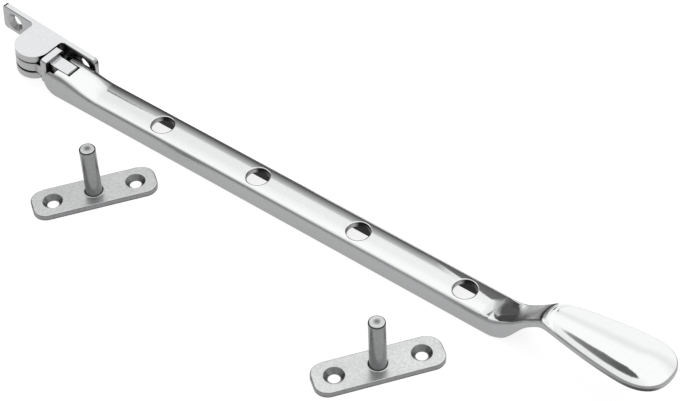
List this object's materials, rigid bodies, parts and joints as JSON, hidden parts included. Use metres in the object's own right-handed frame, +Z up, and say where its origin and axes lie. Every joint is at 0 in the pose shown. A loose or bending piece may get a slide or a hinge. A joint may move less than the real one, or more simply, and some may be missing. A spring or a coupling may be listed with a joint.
{
  "type": "casement stay",
  "caption": "Peg-type casement stay: pressed channel arm with peg holes and a raised spoon handle, hinged to a swivelling sash bracket, with its loose peg plates",
  "frame": {"origin": "middle of everything in plan, as it lies, on the surface it lies on", "axes": "+X runs along the arm from the sash bracket to the spoon, +Y points to the sash side of the bracket, +Z is up"},
  "size_m": [0.3366, 0.0788, 0.0258],
  "materials": {
    "arm_chrome": "polished",
    "pivot_chrome": "polished, a little softer than the arm",
    "pin_chrome": "polished, ends ground flush",
    "peg_plate_chrome": "satin, mottled",
    "peg_chrome": "satin, turned"
  },
  "bodies": {
    "stay": {"stay_arm": "arm_chrome", "lift_rivet": "pin_chrome", "peg_plate_1": "peg_plate_chrome", "peg_1": "peg_chrome", "peg_plate_2": "peg_plate_chrome", "peg_2": "peg_chrome"},
    "knuckle": {"knuckle": "pivot_chrome"},
    "bracket": {"sash_bracket": "pivot_chrome", "swivel_pin": "pin_chrome"}
  },
  "joints": [
    {"name": "lift", "type": "hinge", "parent": "stay", "child": "knuckle", "pos_m": [-0.12389, 0.02752, 0.00585], "axis": [0, 1, 0], "range_deg": [-15.5, 74.5]},
    {"name": "swivel", "type": "hinge", "parent": "knuckle", "child": "bracket", "pos_m": [-0.1415, 0.02752, 0.0087], "axis": [0.0958, 0, 0.9954], "range_deg": [0, 180]}
  ]
}
